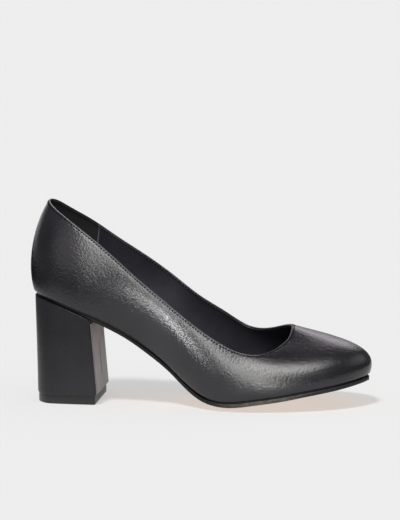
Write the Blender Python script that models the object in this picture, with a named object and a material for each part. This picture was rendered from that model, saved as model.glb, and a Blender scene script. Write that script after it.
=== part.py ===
"""A women's block heel pump, the right shoe, with a low rounded toe and a deep round throat.

The shoe stands on its heel and on the ball of its sole. +X points to the toe, +Y to the inner (medial)
side and +Z up. The origin is the middle of the heel's face on the floor. Sizes below are millimetres.

The upper is drawn with ribs. Each rib is one cubic curve that climbs from the feather line (where the
upper meets the sole) to the rim (the edge of the opening). The ribs stand in a ring round the shoe, from
the back seam along the outer side to the toe and back along the inner side, so the toe has no pole.
"""

import math
from collections import namedtuple

import bpy
import numpy as np

MM = 0.001

# Driving sizes
LAST_LENGTH = 218.5  # along the floor, from the feather line at the back to the one at the toe
HEEL_HEIGHT = 70.9  # from the floor to the feather line at the back
BALL_WIDTH = 76.5  # between the feather lines at the ball
BACK_TOP = 131.0  # from the floor to the rim at the back seam
BACK_OVERHANG = 2.2  # how far the feather line's back lies behind the heel's foot

# Walls and thicknesses
UPPER_WALL = 1.7  # leather, backing and lining together
RIM_ROUND = 0.4  # how far the rim's middle stands above its edges
SOLE_THICKNESS = 2.7  # in the forefoot
SHANK_THICKNESS = 2.3  # in the waist
SEAT_THICKNESS = 1.4  # where the sole is skived between upper and heel
SOLE_CROWN = 3.2  # how far the middle of the sole hangs below its edges at the ball
SOLE_TUCK = 0.6  # how much narrower the sole's underside is than its top, on each side
FOREFOOT_INSET = -0.2  # of the sole's edge from the feather line, here outside it
WAIST_INSET = 0.6
SEAT_INSET = 1.8
INSOLE_THICKNESS = 2.8  # board, padding and sock
GAP = 0.3  # between pieces that meet

# The heel
HEEL_BASE_LENGTH = 41.4  # at the foot, along X
HEEL_BASE_WIDTH = 49.0  # at the foot, across the breast
HEEL_TOP_INSET = 0.4  # of the block's top from the feather line
BREAST_SLANT = 4.2  # how far the breast leans forward on its way down
BREAST_RADIUS = 0.9
TOP_PIECE_HEIGHT = 6.0
TOP_PIECE_INSET = 0.6
BREAST_COVER_THICKNESS = 0.8
BREAST_COVER_SIDE = 0.5  # from the block's edges
BREAST_COVER_TOP = 2.8  # from the block's top
BREAST_COVER_FOOT = 0.6  # from the block's foot

# Mesh steps
RING_STEPS = 120  # round the shoe
RIB_STEPS = 14  # from feather line to rim
SOLE_ROWS = 56  # along the sole
SOLE_COLUMNS = 6  # across the sole
OUTLINE_STEPS = 1440  # round the feather line, where outlines are measured from it
HEEL_STEPS = 32  # round the heel's sides and back
HEEL_LEVELS = 6
CORNER_STEPS = 3
BREAST_STEPS = 4
SHARP_EDGE = 0.7  # turn between two faces that makes their edge a sharp one, in radians

X_BACK = -HEEL_BASE_LENGTH / 2 - BACK_OVERHANG
X_BREAST = HEEL_BASE_LENGTH / 2

# One row for each rib from the back seam towards the toe. The columns are shares:
#   foot_at              place of the rib's foot along the last, of LAST_LENGTH
#   foot_out, foot_in    the foot's distance from the centre line, outer and inner side, of BALL_WIDTH
#   rim_at               place of the rib's top, of LAST_LENGTH
#   rim_out, rim_in      the top's distance from the centre line, of BALL_WIDTH
#   rim_up_out, _in      height of the top above the floor, of BACK_TOP
#   low_out, low_up      lower handle of the rib, outwards and up, of the line from foot to top
#   top_out, top_down    upper handle of the rib, outwards and down, of the line from foot to top
Rib = namedtuple(
    "Rib",
    "foot_at foot_out foot_in rim_at rim_out rim_in rim_up_out rim_up_in low_out low_up top_out top_down",
)
RIBS = [
    Rib(0.000, 0.000, 0.000, 0.0440, 0.000, 0.000, 1.000, 1.000, 0.082, 0.250, 0.200, 0.330),
    Rib(0.015, 0.163, 0.163, 0.0590, 0.124, 0.124, 0.978, 0.990, 0.085, 0.252, 0.190, 0.330),
    Rib(0.056, 0.275, 0.275, 0.0970, 0.222, 0.230, 0.938, 0.944, 0.080, 0.255, 0.165, 0.335),
    Rib(0.117, 0.329, 0.329, 0.1540, 0.294, 0.316, 0.875, 0.881, 0.080, 0.260, 0.130, 0.330),
    Rib(0.200, 0.327, 0.314, 0.2270, 0.336, 0.349, 0.784, 0.797, 0.085, 0.260, 0.095, 0.325),
    Rib(0.300, 0.294, 0.255, 0.3140, 0.369, 0.369, 0.660, 0.702, 0.115, 0.240, 0.080, 0.310),
    Rib(0.396, 0.288, 0.229, 0.3975, 0.387, 0.380, 0.547, 0.603, 0.140, 0.220, 0.075, 0.300),
    Rib(0.487, 0.366, 0.301, 0.4820, 0.408, 0.399, 0.436, 0.493, 0.120, 0.240, 0.095, 0.300),
    Rib(0.569, 0.464, 0.431, 0.5600, 0.425, 0.418, 0.348, 0.412, 0.085, 0.250, 0.140, 0.300),
    Rib(0.656, 0.497, 0.503, 0.6260, 0.418, 0.421, 0.293, 0.348, 0.080, 0.280, 0.210, 0.290),
    Rib(0.752, 0.477, 0.497, 0.6830, 0.369, 0.362, 0.278, 0.341, 0.085, 0.290, 0.310, 0.245),
    Rib(0.843, 0.405, 0.451, 0.7270, 0.275, 0.256, 0.294, 0.364, 0.095, 0.290, 0.410, 0.200),
    Rib(0.920, 0.294, 0.353, 0.7530, 0.170, 0.160, 0.319, 0.381, 0.120, 0.310, 0.450, 0.160),
    Rib(0.975, 0.131, 0.222, 0.7685, 0.078, 0.092, 0.348, 0.386, 0.155, 0.345, 0.460, 0.135),
]
# The toe's rib belongs to both sides. Its foot and its top lie on the inner side of the centre line.
TOE_RIB = Rib(1.000, -0.052, 0.052, 0.7720, -0.020, 0.020, 0.378, 0.378, 0.170, 0.360, 0.460, 0.130)

# The last's bottom: height of the feather line of HEEL_HEIGHT, and the sole's crown of SOLE_CROWN,
# at shares of LAST_LENGTH
Bottom = namedtuple("Bottom", "at up crown")
BOTTOM = [
    Bottom(0.00, 1.000, 0.00),
    Bottom(0.05, 0.972, 0.00),
    Bottom(0.11, 0.908, 0.00),
    Bottom(0.18, 0.823, 0.00),
    Bottom(0.24, 0.738, 0.05),
    Bottom(0.30, 0.633, 0.10),
    Bottom(0.36, 0.500, 0.20),
    Bottom(0.42, 0.354, 0.30),
    Bottom(0.48, 0.192, 0.50),
    Bottom(0.52, 0.117, 0.75),
    Bottom(0.56, 0.085, 0.95),
    Bottom(0.60, 0.078, 1.00),
    Bottom(0.66, 0.100, 1.00),
    Bottom(0.74, 0.137, 0.75),
    Bottom(0.82, 0.180, 0.50),
    Bottom(0.90, 0.220, 0.30),
    Bottom(1.00, 0.268, 0.10),
]

# Half of the heel's foot from the back to the breast, of HEEL_BASE_LENGTH and HEEL_BASE_WIDTH
HeelSide = namedtuple("HeelSide", "at out")
HEEL_FOOT = [
    HeelSide(0.000, 0.000),
    HeelSide(0.015, 0.165),
    HeelSide(0.045, 0.280),
    HeelSide(0.108, 0.376),
    HeelSide(0.204, 0.448),
    HeelSide(0.416, 0.481),
    HeelSide(0.673, 0.494),
    HeelSide(0.957, 0.500),
]


def spline_slopes(knots, values):
    """Slopes at the knots of the smooth cubic curve through the values, closed if the ends agree."""
    gaps = np.diff(knots)
    rises = np.diff(values, axis=0) / gaps[:, None]
    count = len(knots)
    system = np.zeros((count, count))
    right = np.zeros(values.shape)
    for k in range(1, count - 1):
        system[k, k - 1 : k + 2] = 1 / gaps[k - 1], 2 / gaps[k - 1] + 2 / gaps[k], 1 / gaps[k]
        right[k] = 3 * (rises[k - 1] / gaps[k - 1] + rises[k] / gaps[k])
    if np.allclose(values[0], values[-1]):
        system[0, 0], system[0, -1] = 1, -1
        system[-1, :2] = 2 / gaps[0], 1 / gaps[0]
        system[-1, -2:] += 1 / gaps[-1], 2 / gaps[-1]
        right[-1] = 3 * (rises[0] / gaps[0] + rises[-1] / gaps[-1])
    else:
        system[0, :2] = 2, 1
        right[0] = 3 * rises[0]
        system[-1, -2:] = 1, 2
        right[-1] = 3 * rises[-1]
    return np.linalg.solve(system, right)


def spline_at(knots, values, places):
    """Points at the places on the smooth cubic curve through the values."""
    slopes = spline_slopes(knots, values)
    spans = np.clip(np.searchsorted(knots, places, "right") - 1, 0, len(knots) - 2)
    gaps = (knots[spans + 1] - knots[spans])[:, None]
    t = (places - knots[spans])[:, None] / gaps
    start = (1 + 2 * t) * (1 - t) ** 2 * values[spans] + t * (1 - t) ** 2 * gaps * slopes[spans]
    end = t**2 * (3 - 2 * t) * values[spans + 1] - t**2 * (1 - t) * gaps * slopes[spans + 1]
    return start + end


def column(rows, name):
    return np.array([getattr(row, name) for row in rows])


def feather_height(x):
    places = np.clip((np.atleast_1d(x) - X_BACK) / LAST_LENGTH, 0, 1)
    shares = spline_at(column(BOTTOM, "at"), column(BOTTOM, "up")[:, None], places)
    return HEEL_HEIGHT * shares[:, 0]


def crown_depth(x):
    places = np.clip((np.atleast_1d(x) - X_BACK) / LAST_LENGTH, 0, 1)
    return SOLE_CROWN * np.interp(places, column(BOTTOM, "at"), column(BOTTOM, "crown"))


def along_parts(x, seat, waist, forefoot):
    """A value along the last that has one size under the heel, one in the waist and one in the forefoot."""
    places = (np.atleast_1d(x) - X_BACK) / LAST_LENGTH
    return np.interp(places, [0.14, 0.20, 0.42, 0.56], [seat, waist, waist, forefoot])


def outward(curve_slopes):
    """Level unit vectors that point out of a ring which runs anticlockwise."""
    vectors = np.stack([curve_slopes[:, 1], -curve_slopes[:, 0], np.zeros(len(curve_slopes))], axis=1)
    return vectors / np.linalg.norm(vectors, axis=1)[:, None]


def ring_controls():
    """Knots round the shoe and, at each, the four control points of its rib. The last repeats the first."""
    rows = [(rib, -1, rib.foot_out, rib.rim_out, rib.rim_up_out) for rib in RIBS + [TOE_RIB]]
    rows += [(rib, 1, rib.foot_in, rib.rim_in, rib.rim_up_in) for rib in RIBS[::-1]]
    feet = []
    rims = []
    for rib, side, foot_share, rim_share, rim_up in rows:
        foot_x = X_BACK + LAST_LENGTH * rib.foot_at
        rim_x = X_BACK + LAST_LENGTH * rib.rim_at
        feet.append((foot_x, side * BALL_WIDTH * foot_share, feather_height(foot_x)[0]))
        rims.append((rim_x, side * BALL_WIDTH * rim_share, BACK_TOP * rim_up))
    feet = np.array(feet)
    rims = np.array(rims)
    steps = np.linalg.norm(np.diff(feet, axis=0), axis=1) + np.linalg.norm(np.diff(rims, axis=0), axis=1)
    knots = np.concatenate([[0], np.cumsum(steps) / np.sum(steps)])
    foot_out = outward(spline_slopes(knots, feet))
    rim_out = outward(spline_slopes(knots, rims))
    reach = np.linalg.norm(rims - feet, axis=1)[:, None]
    up = np.array([0, 0, 1])
    ribs = [row[0] for row in rows]
    low_out, low_up = column(ribs, "low_out")[:, None], column(ribs, "low_up")[:, None]
    top_out, top_down = column(ribs, "top_out")[:, None], column(ribs, "top_down")[:, None]
    low = feet + reach * (low_out * foot_out + low_up * up)
    top = rims + reach * (top_out * rim_out - top_down * up)
    return knots, np.stack([feet, low, top, rims], axis=1)


def ribs_at(places):
    knots, controls = ring_controls()
    flat = spline_at(knots, controls.reshape(len(knots), -1), places)
    return flat.reshape(len(places), 4, 3)


def rib_points(controls, shares):
    """Points of each rib at the shares of its way from foot to top, as [rib, share, axis]."""
    t = shares[None, :, None]
    foot, low, top, rim = (controls[:, None, k] for k in range(4))
    return (1 - t) ** 3 * foot + 3 * t * (1 - t) ** 2 * low + 3 * t**2 * (1 - t) * top + t**3 * rim


def surface_normals(points):
    """Unit normals that point out of a ring of ribs."""
    around = np.roll(points, -1, axis=0) - np.roll(points, 1, axis=0)
    along = np.gradient(points, axis=1)
    normals = np.cross(around, along)
    return normals / np.linalg.norm(normals, axis=2)[:, :, None]


def make_solid(name, points, faces, material):
    mesh = bpy.data.meshes.new(name)
    mesh.from_pydata([tuple(MM * value for value in point) for point in points], [], faces)
    mesh.polygons.foreach_set("use_smooth", [True] * len(mesh.polygons))
    mesh.materials.append(material)
    mesh.update()
    mesh.set_sharp_from_angle(angle=SHARP_EDGE)
    obj = bpy.data.objects.new(name, mesh)
    bpy.context.scene.collection.objects.link(obj)
    return obj


def make_material(name, color, roughness):
    material = bpy.data.materials.new(name)
    material.use_nodes = True
    shader = material.node_tree.nodes["Principled BSDF"]
    shader.inputs["Base Color"].default_value = (*color, 1)
    shader.inputs["Roughness"].default_value = roughness
    return material


def tube_faces(rows, columns):
    """Faces between closed rows of points that follow each other outwards, as one band."""
    faces = []
    for row in range(rows - 1):
        for k in range(columns):
            after = (k + 1) % columns
            faces.append(
                (row * columns + k, row * columns + after, (row + 1) * columns + after, (row + 1) * columns + k)
            )
    return faces


def build_upper(material):
    """The hollow upper: outer skin up, round the rim, inner skin down and back across the foot of the wall."""
    outer = rib_points(ribs_at(np.arange(RING_STEPS) / RING_STEPS), np.linspace(0, 1, RIB_STEPS + 1))
    normals = surface_normals(outer)
    inner = outer - UPPER_WALL * normals
    level = normals[:, 0] * (1, 1, 0)
    level /= np.linalg.norm(level, axis=1)[:, None]
    inner[:, 0] = outer[:, 0] - UPPER_WALL * level
    climb = outer[:, -1] - outer[:, -2]
    climb /= np.linalg.norm(climb, axis=1)[:, None]
    rim = (outer[:, -1] + inner[:, -1]) / 2 + RIM_ROUND * climb
    rows = [outer[:, k] for k in range(RIB_STEPS + 1)]
    rows.append(rim)
    rows += [inner[:, k] for k in range(RIB_STEPS, -1, -1)]
    rows.append(rows[0])
    faces = tube_faces(len(rows), RING_STEPS)
    points = np.concatenate(rows[:-1])
    faces = [tuple(corner % len(points) for corner in face) for face in faces]
    return make_solid("upper", points, faces, material)


def inset_outline(inset_at):
    """The feather line seen from above, moved inwards by inset_at(x)."""
    feet = ribs_at(np.arange(OUTLINE_STEPS) / OUTLINE_STEPS)[:, 0]
    slopes = np.roll(feet, -1, axis=0) - np.roll(feet, 1, axis=0)
    return (feet - inset_at(feet[:, 0])[:, None] * outward(slopes))[:, :2]


def sheet_rows(inset_at):
    """Places along an inset outline, with the outer and inner edge at each."""
    outline = inset_outline(inset_at)
    front = np.argmax(outline[:, 0])
    back = np.argmin(outline[:, 0])
    outer_half = outline[back : front + 1]
    inner_half = np.concatenate([outline[front:], outline[: back + 1]])[::-1]
    turns = np.linspace(0.015, 0.985, SOLE_ROWS + 1) * math.pi
    x = outline[back, 0] + (outline[front, 0] - outline[back, 0]) * (1 - np.cos(turns)) / 2
    outer = np.interp(x, outer_half[:, 0], outer_half[:, 1])
    inner = np.interp(x, inner_half[:, 0], inner_half[:, 1])
    return x, outer, inner


def build_sheet(name, inset_at, top_at, bottom_at, tuck, material):
    """A thick sheet inside an outline. top_at and bottom_at give heights from x and the share across."""
    x, outer, inner = sheet_rows(inset_at)
    across = np.linspace(-1, 1, SOLE_COLUMNS + 1)
    middle = (outer + inner)[:, None] / 2
    half = (inner - outer)[:, None] / 2
    x = np.repeat(x[:, None], SOLE_COLUMNS + 1, axis=1)
    share = np.repeat(across[None], SOLE_ROWS + 1, axis=0)
    top = np.stack([x, middle + half * share, top_at(x, share)], axis=2)
    low_half = half - np.minimum(tuck, half / 3)
    bottom = np.stack([x, middle + low_half * share, bottom_at(x, share)], axis=2)
    width = SOLE_COLUMNS + 1
    under = width * (SOLE_ROWS + 1)
    faces = []
    for row in range(SOLE_ROWS):
        for k in range(SOLE_COLUMNS):
            corner = row * width + k
            quad = (corner, corner + width, corner + width + 1, corner + 1)
            faces.append(quad)
            faces.append(tuple(under + place for place in quad[::-1]))
    edge = list(range(width))
    edge += [row * width + width - 1 for row in range(1, SOLE_ROWS)]
    edge += [SOLE_ROWS * width + k for k in range(width - 1, -1, -1)]
    edge += [row * width for row in range(SOLE_ROWS - 1, 0, -1)]
    for here, after in zip(edge, edge[1:] + edge[:1]):
        faces.append((here, after, under + after, under + here))
    points = np.concatenate([top.reshape(-1, 3), bottom.reshape(-1, 3)])
    return make_solid(name, points, faces, material)


def bowed(x, share):
    """Height of the last's bottom, which hangs below the feather line in the middle."""
    flat = x.reshape(-1)
    level = feather_height(flat) - crown_depth(flat) * (1 - share.reshape(-1) ** 2)
    return level.reshape(x.shape)


def sole_top(x, share):
    return bowed(x, share) - GAP


def sole_bottom(x, share):
    flat = x.reshape(-1)
    slope = (feather_height(flat + 0.5) - feather_height(flat - 0.5)).reshape(x.shape)
    thickness = along_parts(flat, SEAT_THICKNESS, SHANK_THICKNESS, SOLE_THICKNESS).reshape(x.shape)
    return np.maximum(sole_top(x, share) - thickness * np.hypot(1, slope), 0)


def insole_top(x, share):
    return bowed(x, share) + INSOLE_THICKNESS


def sole_inset(x):
    return along_parts(x, SEAT_INSET, WAIST_INSET, FOREFOOT_INSET)


def insole_inset(x):
    return np.full(len(x), UPPER_WALL + GAP)


def heel_foot_side():
    """The heel's foot from the inner end of the breast round the back to the outer end."""
    half = [((row.at - 0.5) * HEEL_BASE_LENGTH, row.out * HEEL_BASE_WIDTH) for row in HEEL_FOOT]
    points = np.array(half[::-1] + [(x, -y) for x, y in half[1:]])
    knots = np.concatenate([[0], np.cumsum(np.linalg.norm(np.diff(points, axis=0), axis=1))])
    return spline_at(knots, points, np.linspace(0, knots[-1], HEEL_STEPS + 1))


def heel_top_side(corner_x):
    """The heel's top, which follows the feather line, between the same ends."""
    outline = inset_outline(lambda x: np.full(len(x), HEEL_TOP_INSET))
    inner_start = len(outline) // 2 + np.argmax(outline[len(outline) // 2 :, 0] < corner_x)
    outer_end = np.argmax(outline[:, 0] > corner_x)
    points = np.concatenate([outline[inner_start:], outline[:outer_end]])
    places = np.concatenate([[0], np.cumsum(np.linalg.norm(np.diff(points, axis=0), axis=1))])
    even = np.linspace(0, places[-1], HEEL_STEPS + 1)
    return np.stack([np.interp(even, places, points[:, k]) for k in range(2)], axis=1)


def heel_outline(side, front_x):
    """A closed outline: the side points, then the breast with a small round at each end."""
    turns = np.linspace(-math.pi / 2, 0, CORNER_STEPS + 1)
    arc = BREAST_RADIUS * np.stack([np.cos(turns), np.sin(turns)], axis=1)
    outer_centre = np.array([front_x - BREAST_RADIUS, side[-1, 1] + BREAST_RADIUS])
    inner_centre = np.array([front_x - BREAST_RADIUS, side[0, 1] - BREAST_RADIUS])
    outer_arc = outer_centre + arc
    inner_arc = inner_centre + arc[::-1] * (1, -1)
    shares = np.linspace(0, 1, BREAST_STEPS + 1)[1:-1, None]
    breast = outer_arc[-1] + shares * (inner_arc[0] - outer_arc[-1])
    return np.concatenate([side[1:-1], outer_arc, breast, inner_arc])


def stack_rings(name, rings, material):
    """A solid from closed rings, lowest first, each a list of points that runs anticlockwise."""
    count = len(rings[0])
    faces = tube_faces(len(rings), count)
    faces.append(tuple(range(count - 1, -1, -1)))
    faces.append(tuple(range((len(rings) - 1) * count, len(rings) * count)))
    return make_solid(name, np.concatenate(rings), faces, material)


def build_heel(cover, rubber):
    foot = heel_outline(heel_foot_side(), X_BREAST)
    front = X_BREAST - BREAST_SLANT
    top = heel_outline(heel_top_side(front - BREAST_RADIUS), front)
    seat = sole_bottom(top[:, 0], np.ones(len(top))) - GAP
    start = TOP_PIECE_HEIGHT + GAP
    rings = []
    for share in np.linspace(0, 1, HEEL_LEVELS + 1):
        plan = foot + share * (top - foot)
        rings.append(np.column_stack([plan, start + share * (seat - start)]))
    stack_rings("heel_block", rings, cover)

    shrink = 1 - TOP_PIECE_INSET / np.array([HEEL_BASE_LENGTH / 2, HEEL_BASE_WIDTH / 2])
    piece = foot * shrink
    levels = [np.column_stack([piece, np.full(len(piece), z)]) for z in (0, TOP_PIECE_HEIGHT)]
    stack_rings("top_piece", levels, rubber)

    breast_up = seat[-CORNER_STEPS - 1] - start
    lean = math.atan2(BREAST_SLANT, breast_up)
    normal = np.array([math.cos(lean), 0, math.sin(lean)])
    foot_y = HEEL_BASE_WIDTH / 2 - BREAST_RADIUS - BREAST_COVER_SIDE
    top_y = top[-CORNER_STEPS - 1, 1] - BREAST_COVER_SIDE
    plates = []
    for depth in (GAP, GAP + BREAST_COVER_THICKNESS):
        plate = []
        for rise, half in ((BREAST_COVER_FOOT, foot_y), (breast_up - BREAST_COVER_TOP, top_y)):
            x = X_BREAST - BREAST_SLANT * rise / breast_up
            row = [(x, side * half, start + rise) for side in (-1, 1)]
            plate += [np.array(point) + depth * normal for point in (row if not plate else row[::-1])]
        plates.append(np.array(plate))
    stack_rings("breast_cover", plates, cover)


def build():
    for obj in list(bpy.data.objects):
        bpy.data.objects.remove(obj)
    leather = make_material("upper_leather", (0.035, 0.035, 0.038), 0.35)
    cover = make_material("heel_leather", (0.035, 0.035, 0.038), 0.35)
    sole = make_material("sole_leather", (0.36, 0.22, 0.12), 0.5)
    sock = make_material("sock_leather", (0.02, 0.02, 0.025), 0.6)
    rubber = make_material("top_piece_rubber", (0.02, 0.02, 0.02), 0.6)
    build_upper(leather)
    build_sheet("outsole", sole_inset, sole_top, sole_bottom, SOLE_TUCK, sole)
    build_sheet("insole", insole_inset, insole_top, bowed, 0, sock)
    build_heel(cover, rubber)


build()
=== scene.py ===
"""The looks of the block heel pump: leather with a folded, stitched edge, lining, sock, sole and heel.

The shoe's form is drawn from the same named sizes and tables as the CAD, with finer steps. Forms are
worked out in millimetres and made in metres.
"""

import math
from collections import namedtuple

import bmesh
import bpy
import numpy as np
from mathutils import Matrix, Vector


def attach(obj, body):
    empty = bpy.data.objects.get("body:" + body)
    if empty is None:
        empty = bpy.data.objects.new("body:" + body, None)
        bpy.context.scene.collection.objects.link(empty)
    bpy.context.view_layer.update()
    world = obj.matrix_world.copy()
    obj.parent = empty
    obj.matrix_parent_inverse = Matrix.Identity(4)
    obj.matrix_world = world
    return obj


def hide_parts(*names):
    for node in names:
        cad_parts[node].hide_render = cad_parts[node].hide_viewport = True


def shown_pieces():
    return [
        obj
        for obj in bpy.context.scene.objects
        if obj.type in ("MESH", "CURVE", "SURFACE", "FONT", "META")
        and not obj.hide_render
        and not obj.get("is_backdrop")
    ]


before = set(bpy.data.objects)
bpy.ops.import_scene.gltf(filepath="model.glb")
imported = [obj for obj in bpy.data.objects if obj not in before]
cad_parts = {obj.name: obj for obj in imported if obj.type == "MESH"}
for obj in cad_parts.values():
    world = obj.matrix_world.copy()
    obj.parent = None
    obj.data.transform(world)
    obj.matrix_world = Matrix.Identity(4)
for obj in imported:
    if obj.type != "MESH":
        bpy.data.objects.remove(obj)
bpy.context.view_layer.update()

MM = 0.001

# Driving sizes, as in the CAD
LAST_LENGTH = 218.5
HEEL_HEIGHT = 70.9
BALL_WIDTH = 76.5
BACK_TOP = 131.0
BACK_OVERHANG = 2.2
UPPER_WALL = 1.7
SOLE_THICKNESS = 2.7
SHANK_THICKNESS = 2.3
SEAT_THICKNESS = 1.4
SOLE_CROWN = 3.2
FOREFOOT_INSET = -0.2
WAIST_INSET = 0.6
SEAT_INSET = 1.8
INSOLE_THICKNESS = 2.8
GAP = 0.3
HEEL_BASE_LENGTH = 41.4
HEEL_BASE_WIDTH = 49.0
HEEL_TOP_INSET = 0.4
BREAST_SLANT = 4.2
BREAST_RADIUS = 0.9
TOP_PIECE_HEIGHT = 6.0
TOP_PIECE_INSET = 0.6
BREAST_COVER_THICKNESS = 0.8
BREAST_COVER_SIDE = 0.5
BREAST_COVER_TOP = 2.8
BREAST_COVER_FOOT = 0.6

X_BACK = -HEEL_BASE_LENGTH / 2 - BACK_OVERHANG
X_BREAST = HEEL_BASE_LENGTH / 2

Rib = namedtuple(
    "Rib",
    "foot_at foot_out foot_in rim_at rim_out rim_in rim_up_out rim_up_in low_out low_up top_out top_down",
)
RIBS = [
    Rib(0.000, 0.000, 0.000, 0.0440, 0.000, 0.000, 1.000, 1.000, 0.082, 0.250, 0.200, 0.330),
    Rib(0.015, 0.163, 0.163, 0.0590, 0.124, 0.124, 0.978, 0.990, 0.085, 0.252, 0.190, 0.330),
    Rib(0.056, 0.275, 0.275, 0.0970, 0.222, 0.230, 0.938, 0.944, 0.080, 0.255, 0.165, 0.335),
    Rib(0.117, 0.329, 0.329, 0.1540, 0.294, 0.316, 0.875, 0.881, 0.080, 0.260, 0.130, 0.330),
    Rib(0.200, 0.327, 0.314, 0.2270, 0.336, 0.349, 0.784, 0.797, 0.085, 0.260, 0.095, 0.325),
    Rib(0.300, 0.294, 0.255, 0.3140, 0.369, 0.369, 0.660, 0.702, 0.115, 0.240, 0.080, 0.310),
    Rib(0.396, 0.288, 0.229, 0.3975, 0.387, 0.380, 0.547, 0.603, 0.140, 0.220, 0.075, 0.300),
    Rib(0.487, 0.366, 0.301, 0.4820, 0.408, 0.399, 0.436, 0.493, 0.120, 0.240, 0.095, 0.300),
    Rib(0.569, 0.464, 0.431, 0.5600, 0.425, 0.418, 0.348, 0.412, 0.085, 0.250, 0.140, 0.300),
    Rib(0.656, 0.497, 0.503, 0.6260, 0.418, 0.421, 0.293, 0.348, 0.080, 0.280, 0.210, 0.290),
    Rib(0.752, 0.477, 0.497, 0.6830, 0.369, 0.362, 0.278, 0.341, 0.085, 0.290, 0.310, 0.245),
    Rib(0.843, 0.405, 0.451, 0.7270, 0.275, 0.256, 0.294, 0.364, 0.095, 0.290, 0.410, 0.200),
    Rib(0.920, 0.294, 0.353, 0.7530, 0.170, 0.160, 0.319, 0.381, 0.120, 0.310, 0.450, 0.160),
    Rib(0.975, 0.131, 0.222, 0.7685, 0.078, 0.092, 0.348, 0.386, 0.155, 0.345, 0.460, 0.135),
]
TOE_RIB = Rib(1.000, -0.052, 0.052, 0.7720, -0.020, 0.020, 0.378, 0.378, 0.170, 0.360, 0.460, 0.130)

Bottom = namedtuple("Bottom", "at up crown")
BOTTOM = [
    Bottom(0.00, 1.000, 0.00),
    Bottom(0.05, 0.972, 0.00),
    Bottom(0.11, 0.908, 0.00),
    Bottom(0.18, 0.823, 0.00),
    Bottom(0.24, 0.738, 0.05),
    Bottom(0.30, 0.633, 0.10),
    Bottom(0.36, 0.500, 0.20),
    Bottom(0.42, 0.354, 0.30),
    Bottom(0.48, 0.192, 0.50),
    Bottom(0.52, 0.117, 0.75),
    Bottom(0.56, 0.085, 0.95),
    Bottom(0.60, 0.078, 1.00),
    Bottom(0.66, 0.100, 1.00),
    Bottom(0.74, 0.137, 0.75),
    Bottom(0.82, 0.180, 0.50),
    Bottom(0.90, 0.220, 0.30),
    Bottom(1.00, 0.268, 0.10),
]

HeelSide = namedtuple("HeelSide", "at out")
HEEL_FOOT = [
    HeelSide(0.000, 0.000),
    HeelSide(0.015, 0.165),
    HeelSide(0.045, 0.280),
    HeelSide(0.108, 0.376),
    HeelSide(0.204, 0.448),
    HeelSide(0.416, 0.481),
    HeelSide(0.673, 0.494),
    HeelSide(0.957, 0.500),
]

# The skin: leather folded over the edge, with the lining below it on the inside
LEATHER_DEPTH = 1.1
LINING_FRONT = 1.12
LINING_BACK = 1.7
LINING_START = 1.0  # below the edge
LINING_EDGE_THIN = 0.6  # how much of the lining's thickness is gone at its upper edge
LINING_EDGE_REACH = 0.4
EDGE_ROUND = 0.45
EDGE_ROUND_REACH = 0.6
FEATHER_TUCK = 1.1  # the skin turns under above the sole
FEATHER_TUCK_HEIGHT = 2.1
RING_LENGTH = 520.0  # round the upper, which turns short distances into shares of the way round
SEAM_PLACE = 0.704  # the inner side's seam, as a share of the way round
SEAM_DEPTH = 0.35
SEAM_WIDTH = 0.45
SEAM_FADE = 2.0  # above the feather line
GRIP_END = 0.0935  # the heel grip reaches this share of the way round on each side
GRIP_OVERLAP = 0.004
GRIP_BACK = 1.5
SEAM_LINE = [0.0, 0.3, 0.6]  # rows of the pale line where the lining ends at the grip

# Stitches
STITCH_LINE = 1.35  # below the edge
STITCH_LINE_INSIDE = 1.6
STITCH_PITCH = 2.1
STITCH_LENGTH = 1.55
THREAD_RADIUS = 0.44
THREAD_FLATNESS = 0.8
THREAD_DIP = 0.9  # how far a stitch's ends sink in, of the thread's radius
THREAD_SIDES = 6
THREAD_RISE = 0.02  # of the inner stitches, above the lining
STITCH_VALLEY = 0.14
STITCH_VALLEY_WIDTH = 0.6
STITCH_SEAT = 0.6  # how deep a stitch lies in its valley, of the valley's depth
StitchRing = namedtuple("StitchRing", "at wide")
STITCH_RINGS = [
    StitchRing(-0.5, 0.35),
    StitchRing(-0.4, 0.85),
    StitchRing(-0.15, 1.0),
    StitchRing(0.15, 1.0),
    StitchRing(0.4, 0.85),
    StitchRing(0.5, 0.35),
]

# Mesh rows: a list gives distances from the feather line, the edge or the seam, a number counts rows
SKIN_FOOT_ROWS = [0, 0.25, 0.5, 0.8, 1.1, 1.5, 2.0, 2.8]
SKIN_MIDDLE_ROWS = 58
SKIN_RIM_ROWS = [4.0, 3.0, 2.4, 2.0, 1.75, 1.55, 1.35, 1.15, 0.95, 0.7, 0.45, 0.2, 0.0]
SKIN_BACK_ROWS = 9
SEAM_STEPS = [0.12, 0.3, 0.5, 0.75, 1.1, 1.6, 2.4]  # from the seam to both sides
SEAM_REACH = 3.0
LINING_MIDDLE_ROWS = 46
LINING_RIM_ROWS = [6.0, 4.5, 3.2, 2.2, 1.4, 0.8, 0.4, 0.15, 0.0]
LINING_BACK_ROWS = 7

# Mesh steps
SKIN_RING = 560
LINING_RING = 380
GRIP_RING = 90
PATH_STEPS = 4000
OUTLINE_STEPS = 2880
SHEET_SECTIONS = 190
SHEET_COLUMNS = 10
HEEL_STEPS = 150
CORNER_STEPS = 8
BREAST_STEPS = 24
SHARP_EDGE = 0.7  # turn between two faces that makes their edge a sharp one, in radians
SHEET_SHARP_EDGE = 1.0
SKIN_SHARP_EDGE = 1.2
THREAD_SHARP_EDGE = 2.0
WELD_REACH = 0.000002  # in metres


# Curves


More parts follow.
